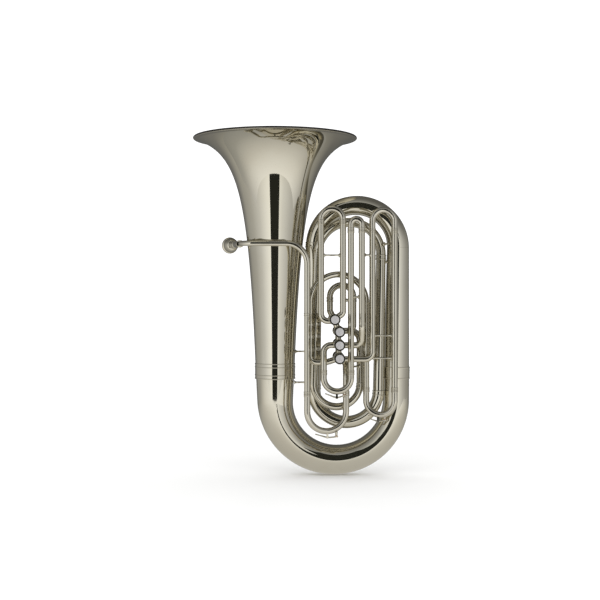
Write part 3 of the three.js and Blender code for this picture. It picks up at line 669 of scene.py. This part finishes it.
def cap_profile(facing, end, hole):
    """A cap's closed profile, from the hole's inner edge round the skirt and over the face, and the range
    of its points that carry the knurl."""
    outer, skirt, face = 15.5, 11, 8
    f = facing
    inner = CASING["outer"] + GAP
    floor, skirt_end, outside = end + f * GAP, end - f * skirt, end + f * face
    points = [
        (hole, floor), (inner, floor), (inner, skirt_end), (outer - 0.6, skirt_end),
        (outer, skirt_end + f * 0.6),
    ]
    first = len(points)
    points += [(outer, skirt_end + f * 2.4), (outer - 0.7, skirt_end + f * 3.0)]
    for share in np.linspace(0.0, 1.0, 6):
        points.append((outer - 0.5, skirt_end + f * (3.4 + share * (skirt + face - 7.6))))
    points += [(outer - 0.7, outside - f * 3.6), (outer, outside - f * 3.0)]
    for degrees in range(0, 91, 15):
        angle = math.radians(degrees)
        points.append((outer - 0.7 + 0.7 * math.cos(angle), outside - f * 0.7 + f * 0.7 * math.sin(angle)))
    points += [
        (8.6, outside), (8.2, outside - f * 0.5), (7.8, outside), (hole + 0.4, outside),
        (hole, outside - f * 0.4),
    ]
    return points, (first + 2, first + 8)


def valve(number):
    """The casing with the knuckle up to the valve above it, the two caps and the piston."""
    label = f"valve{number}"
    x, z = VALVES[number - 1]
    here = Matrix.Translation((x, 0, z))
    outer, bore, front, back = (CASING[k] for k in ("outer", "bore", "front", "back"))
    casing = [(bore, front), (outer, front), (outer, back), (bore, back)]
    shapes = [flipped(turned(casing, 72, here))]
    if number > 1:
        ax, az = VALVES[number - 2]
        y = KNUCKLE_Y[number - 2]
        along = Vector((ax - x, 0, az - z)).normalized()
        a = Vector((x, y, z)) + along * 12.8
        b = Vector((ax, y, az)) - along * 12.8
        path = line(a, b)
        length = path["length"]
        shapes.append(sweep(path, [(0, TUBE_R), (length, TUBE_R)], [(0, BORE_R), (length, BORE_R)], 40))
    mesh(label + "_case", *merged(*shapes), SILVER, "horn", "silver_plate", [label + "_casing"], sharp=40)
    for facing, end, hole, node in ((-1, front, 3.2, "top_cap"), (1, back, 4, "bottom_cap")):
        profile, ribs = cap_profile(facing, end, hole)
        shape = turned(profile, 288, here, 72, 0.45, ribs)
        if facing < 0:
            shape = flipped(shape)
        mesh(f"{label}_{node}_turned", *shape, SILVER, "horn", "silver_plate", [f"{label}_{node}"], sharp=35)
    piston(number, here)


def flipped(shape):
    return shape[0], [face[::-1] for face in shape[1]]


def piston(number, here):
    """The piston with its stem, the button, its pearl and the felt under it."""
    body, label = f"piston{number}", f"valve{number}"
    drum = [
        (0.01, -149), (2.6, -149), (2.6, -100.4), (11.5, -100.4), (11.9, -100), (11.9, -6.4), (11.5, -6),
        (7.5, -6), (7.5, -24), (0.01, -24),
    ]
    shape = flipped(turned(drum[::-1], 64, here))
    mesh(label + "_drum", *shape, MONEL, body, "monel", [label + "_piston"], sharp=40)
    button = [
        (0.01, -149.3), (4.0, -149.3), (4.2, -151.0), (12.6, -152.0), (14.3, -152.6), (15.0, -153.6),
        (15.0, -156.0), (14.9, -156.7), (14.7, -156.9), (11.5, -156.9), (11.3, -156.7), (11.3, -155.2),
        (0.01, -155.2),
    ]
    shape = turned(button, 72, here)
    mesh(label + "_finger_button", *shape, SILVER, body, "silver_plate", [label + "_button"], sharp=1)
    disc = [(0.01, -155.5), (11.0, -155.5), (11.0, -156.3)]
    for share in np.linspace(0, 1, 9):
        disc.append((10.8 * (1 - share) + 0.01, -156.7 - 1.2 * math.sin(math.pi / 2 * share)))
    shape = turned(disc, 64, here)
    mesh(label + "_pearl_disc", *shape, PEARL, body, "pearl", [label + "_pearl"], sharp=40)
    felt = [(3.0, -149.6), (7.4, -149.6), (7.4, -146.6), (3.0, -146.6)]
    mesh(label + "_felt", *turned(felt, 48, here), FELT, body, sharp=40)


# ---- Leadpipe and mouthpiece ----


def leadpipe():
    y, z, tip, turn_x = -95, 654, 7.5, 15.6
    ahead = (y - LEADPIPE_START.y) / LEADPIPE_AIM.y
    corners = [
        tuple(LEADPIPE_START), (LEADPIPE_START.x + ahead * LEADPIPE_AIM.x, y, z, 32), (turn_x, y, z, 80),
        (turn_x, FRONT, 540, 200), (turn_x, FRONT, 235),
    ]
    path = route(corners)
    straight, end = path["bends"][1][1], path["length"]
    joint = end - 225
    outer = [
        (0, tip), (straight, TUBE_R), *raised(joint, joint + 9, TUBE_R, FERRULE_R),
        *raised(end - FERRULE_LENGTH, end, TUBE_R, FERRULE_R),
    ]
    vertices, faces = sweep(path, outer, [(0, tip - 1), (straight, BORE_R), (end, BORE_R)], 48)
    mesh("leadpipe_tube", vertices, faces, SILVER, "horn", "silver_plate", ["leadpipe"], sharp=50)
    brace("leadpipe_bell_brace", (BELL_X, y, z), (BELL_X, 0, z), tip + 1, bell_radius(z))
    brace("leadpipe_loop_brace", (turn_x, FRONT, 455), (24.6, FOURTH, 455), TUBE_R, TUBE_R)


def mouthpiece():
    aim = Matrix.Translation(LEADPIPE_START) @ AWAY.rotation_difference(LEADPIPE_AIM).to_matrix().to_4x4()
    receiver = [(6.5, 0.3), (10.3, 0.3), (10.8, 0.9), (10.8, 5.2), (10.3, 5.8), (9.6, 6.4)]
    receiver += [(9.3, 27), (9.6, 48.5), (10.3, 49.2), (10.8, 49.9), (10.8, 54), (10.2, 55), (8.4, 55)]
    receiver += [(8.2, 54.6), (8.2, 20), (6.5, 20)]
    shape = turned(receiver, 64, aim)
    mesh("receiver_turned", *shape, SILVER, "horn", "silver_plate", ["mouthpiece_receiver"], sharp=40)
    shank_end = 25
    outside = [(6.2, 0), (7.7, 34), (7.75, 37), (8.6, 38), (8.9, 39.2), (8.6, 40.4), (7.8, 41.4), (8.2, 46)]
    outside += [(8.9, 51), (10.6, 54.6), (11.2, 55.4), (11.2, 56.8)]
    for t in np.linspace(0.12, math.pi / 2, 14):
        outside.append((11 + 9.8 * math.sin(t) ** 0.85, 57 + 28 * (1 - math.cos(t))))
    outside += [(20.4, 86.0), (20.4, 87.0), (22.6, 88.2), (23.3, 89.4), (23.5, 90.6)]
    outside += [(23.5, 93.2), (23.2, 94.3), (22.4, 95), (20.0, 95.4), (18.2, 95), (17.2, 94), (16.6, 92)]
    inside = [
        (16.0, 87), (15.3, 81), (13.4, 75), (10.3, 69.5), (7.0, 65.5), (4.8, 62.5), (3.9, 59), (3.9, 52),
        (5.2, 0),
    ]
    shape = turned([(r, shank_end + s) for r, s in outside + inside], 96, aim)
    mesh("mouthpiece_turned", *shape, SILVER, "mouthpiece", "silver_plate", ["mouthpiece"], sharp=40)


def stays():
    """Stay rods between the bell and the branches."""
    brace("bell_stay_upper", (35, 0, 350), (BELL_X, 0, 350), 20.8, bell_radius(350))
    brace("bell_stay_lower", (35, 0, 262), (BELL_X, 0, 262), 19.5, 54.6)
    brace("right_leg_stay", (224.9, -9.2, 605), (274.4, 0, 605), 13.9, 32.2)


# ---- Stage, in metres ----

# The room that reflections see is the product of three: CLOTH by the angle from the camera's side (0) to the
# back (1), CEILING from below (0) to above (1), and SIDES from -X (0) to +X (1), where the light is weaker.
CLOTH = [
    (0.10, (0.92, 0.93, 0.94)), (0.20, (0.78, 0.79, 0.81)), (0.33, (0.57, 0.575, 0.59)),
    (0.50, (0.41, 0.41, 0.41)), (0.67, (0.33, 0.33, 0.325)), (0.80, (0.17, 0.17, 0.17)),
    (0.93, (0.11, 0.11, 0.105)), (1.0, (0.09, 0.09, 0.085)),
]
CEILING = [
    (0.0, (1.3, 1.28, 1.2)), (0.2, (1.17, 1.155, 1.1)), (0.5, (1, 1, 1)), (0.6, (0.85, 0.85, 0.85)),
    (0.75, (0.5, 0.5, 0.49)), (1.0, (0.3, 0.3, 0.29)),
]
SIDES = [(0.5, (1, 1, 1)), (0.72, (0.8, 0.8, 0.8))]
# The paper floor as reflections see it, a glow of painted light and shade from the front (0) to behind
# the tuba (1), and the near-black painted shade of the dark space round the camera.
PAPER_PAINTED_LIGHT_AND_SHADE = [
    (0.0, (1.08, 1.08, 1.08)), (0.3, (0.86, 0.855, 0.84)), (0.5, (0.66, 0.65, 0.63)),
    (0.75, (0.42, 0.42, 0.405)), (1.0, (0.32, 0.32, 0.31)),
]
DARK_PAINTED_SHADE = [(0, (0.014, 0.015, 0.011)), (1, (0.012, 0.013, 0.009))]
ROOM_STRENGTH, WHITE_STRENGTH = 1.25, 1.22
ROOM_SHARE = 0.9  # how much of the room's shade the faded end of a panel takes


def camera():
    data = bpy.data.cameras.new("camera")
    distance, width_seen, centre_x, centre_z = 3.45, 1.710, -0.0045, 0.4965
    data.lens = data.sensor_width * distance / width_seen
    view = bpy.data.objects.new("camera", data)
    view.location = (centre_x, -distance, centre_z)
    view.rotation_euler = (math.pi / 2, 0, 0)
    bpy.context.scene.collection.objects.link(view)
    bpy.context.scene.camera = view
    bpy.context.scene.view_settings.view_transform = "Standard"


def turn_from_front(tree, vector):
    """The angle between a vector and -Y, as a share of half a turn."""
    unit = tree.nodes.new("ShaderNodeVectorMath")
    unit.operation = "NORMALIZE"
    split = tree.nodes.new("ShaderNodeSeparateXYZ")
    tree.links.new(vector, unit.inputs[0])
    tree.links.new(unit.outputs["Vector"], split.inputs["Vector"])
    previous = split.outputs["Y"]
    for operation, second in (("MULTIPLY", -1), ("ARCCOSINE", 0), ("DIVIDE", math.pi)):
        step = tree.nodes.new("ShaderNodeMath")
        step.operation = operation
        step.inputs[1].default_value = second
        tree.links.new(previous, step.inputs[0])
        previous = step.outputs["Value"]
    return previous


def tent():
    """The studio as the world: white cloth for the eye and for soft light, and for reflections a room that
    is bright round the camera and darker towards the back and the ceiling."""
    world = bpy.data.worlds.new("tent")
    bpy.context.scene.world = world
    world.use_nodes = True
    tree = world.node_tree
    tree.nodes.clear()
    output = tree.nodes.new("ShaderNodeOutputWorld")
    place = tree.nodes.new("ShaderNodeTexCoord")
    split = tree.nodes.new("ShaderNodeSeparateXYZ")
    tree.links.new(place.outputs["Generated"], split.inputs["Vector"])
    shade = ramp(tree, turn_from_front(tree, place.outputs["Generated"]), CLOTH)
    for axis, stops in (("Z", CEILING), ("X", SIDES)):
        share = tree.nodes.new("ShaderNodeMapRange")
        share.inputs["From Min"].default_value = -1
        tree.links.new(split.outputs[axis], share.inputs["Value"])
        product = tree.nodes.new("ShaderNodeVectorMath")
        product.operation = "MULTIPLY"
        tree.links.new(shade, product.inputs[0])
        tree.links.new(ramp(tree, share.outputs["Result"], stops), product.inputs[1])
        shade = product.outputs["Vector"]
    room = tree.nodes.new("ShaderNodeBackground")
    tree.links.new(shade, room.inputs["Color"])
    room.inputs["Strength"].default_value = ROOM_STRENGTH
    white = tree.nodes.new("ShaderNodeBackground")
    white.inputs["Color"].default_value = (1, 1, 1, 1)
    white.inputs["Strength"].default_value = WHITE_STRENGTH
    ray = tree.nodes.new("ShaderNodeLightPath")
    pick = tree.nodes.new("ShaderNodeMixShader")
    tree.links.new(ray.outputs["Is Glossy Ray"], pick.inputs["Fac"])
    tree.links.new(white.outputs["Background"], pick.inputs[1])
    tree.links.new(room.outputs["Background"], pick.inputs[2])
    tree.links.new(pick.outputs["Shader"], output.inputs["Surface"])


def panel(name, corners, stops, fade=None):
    """A flat stage panel that only reflections see, glowing with painted light and shade though it is no
    lamp.
    Its shade runs along its object coordinate Y, and fade is the pair of distances over which it turns into
    the shade of the room behind it."""
    data = bpy.data.meshes.new(name)
    data.from_pydata(corners, [], [(0, 1, 2, 3)])
    sheet = bpy.data.objects.new(name, data)
    sheet.visible_camera = sheet.visible_diffuse = sheet.visible_shadow = sheet.visible_transmission = False
    material, tree, shader = nodes_of(name + "_painted_light_and_shade")
    place = tree.nodes.new("ShaderNodeTexCoord")
    split = tree.nodes.new("ShaderNodeSeparateXYZ")
    along = tree.nodes.new("ShaderNodeMapRange")
    along.inputs["From Min"].default_value = corners[0][1]
    along.inputs["From Max"].default_value = corners[2][1] + 0.001  # an upright panel has no length along Y
    tree.links.new(place.outputs["Object"], split.inputs["Vector"])
    tree.links.new(split.outputs["Y"], along.inputs["Value"])
    shader.inputs["Base Color"].default_value = (0.01, 0.01, 0.01, 1)
    shader.inputs["Roughness"].default_value = 1
    shader.inputs["Specular IOR Level"].default_value = 0
    # The sheet's glow is painted light and shade, running along Y.
    shade = ramp(tree, along.outputs["Result"], stops)
    if fade:
        reach = tree.nodes.new("ShaderNodeVectorMath")
        reach.operation = "LENGTH"
        share = tree.nodes.new("ShaderNodeMapRange")
        share.inputs["From Min"].default_value, share.inputs["From Max"].default_value = fade
        share.inputs["To Max"].default_value = ROOM_SHARE
        blend = tree.nodes.new("ShaderNodeMix")
        blend.data_type = "RGBA"
        # A painted copy of the room's light, by the angle from the front.
        lit = [(at, tuple(ROOM_STRENGTH * c for c in colour)) for at, colour in CLOTH]
        room = ramp(tree, turn_from_front(tree, place.outputs["Object"]), lit)
        tree.links.new(place.outputs["Object"], reach.inputs[0])
        tree.links.new(reach.outputs["Value"], share.inputs["Value"])
        tree.links.new(share.outputs["Result"], blend.inputs["Factor"])
        tree.links.new(shade, blend.inputs[6])
        tree.links.new(room, blend.inputs[7])
        shade = blend.outputs[2]
    tree.links.new(shade, shader.inputs["Emission Color"])
    shader.inputs["Emission Strength"].default_value = 1
    data.materials.append(material)
    bpy.context.scene.collection.objects.link(sheet)


def stage():
    """The floor that the eye sees, and what only reflections see: sheets that glow with painted light and
    shade for the paper floor, and with near-black painted shade for the dark space round and behind the
    camera."""
    half = 6.0
    corners = [(-half, -half, 0), (half, -half, 0), (half, half, 0), (-half, half, 0)]
    data = bpy.data.meshes.new("floor")
    data.from_pydata(corners, [], [(0, 1, 2, 3)])
    plane = bpy.data.objects.new("floor", data)
    plane.location.z = -0.0005
    plane.visible_glossy = False
    material, tree, shader = nodes_of("floor_paint")
    shade = ramp(tree, noise(tree, 3, 2), [(0.3, (0.93, 0.93, 0.925)), (0.7, (0.95, 0.95, 0.945))])
    tree.links.new(shade, shader.inputs["Base Color"])
    shader.inputs["Roughness"].default_value = 0.9
    data.materials.append(material)
    bpy.context.scene.collection.objects.link(plane)
    front, far, wide, back, paper_z = -1.27, -3.3, 3.0, 0.9, -0.001
    near_left, near_right, far_left, far_right = -0.42, 0.25, -1.03, 0.82
    join, top, upper_left, upper_right = 1.15, 3.0, -0.8, 1.45

    def wall(left, right, low, high):
        return [(left, far, low), (right, far, low), (right, far, high), (left, far, high)]

    # Near-black sheets of painted shade where the dark space round the camera is.
    painted_shade_floor_strip = [(far_left, far, 0), (far_right, far, 0), (near_right, front, 0), (near_left, front, 0)]
    panel("painted_shade_floor_strip", painted_shade_floor_strip, DARK_PAINTED_SHADE)
    panel("space_behind_camera", wall(far_left, far_right, 0, join), DARK_PAINTED_SHADE)
    panel("space_above_camera", wall(upper_left, upper_right, join, top), DARK_PAINTED_SHADE)
    # The paper floor's glow: painted light and shade, bright at the front and darker behind the tuba.
    paper = [(-wide, front, paper_z), (wide, front, paper_z), (wide, back, paper_z), (-wide, back, paper_z)]
    panel("paper", paper, PAPER_PAINTED_LIGHT_AND_SHADE, fade=(1.3, 2.9))


camera()
tent()
stage()
bell()
bell_ferrule()
branches()
main_tubing()
first_tubing()
second_tubing()
third_tubing()
fourth_tubing()
for valve_number in range(1, 5):
    valve(valve_number)
leadpipe()
mouthpiece()
stays()
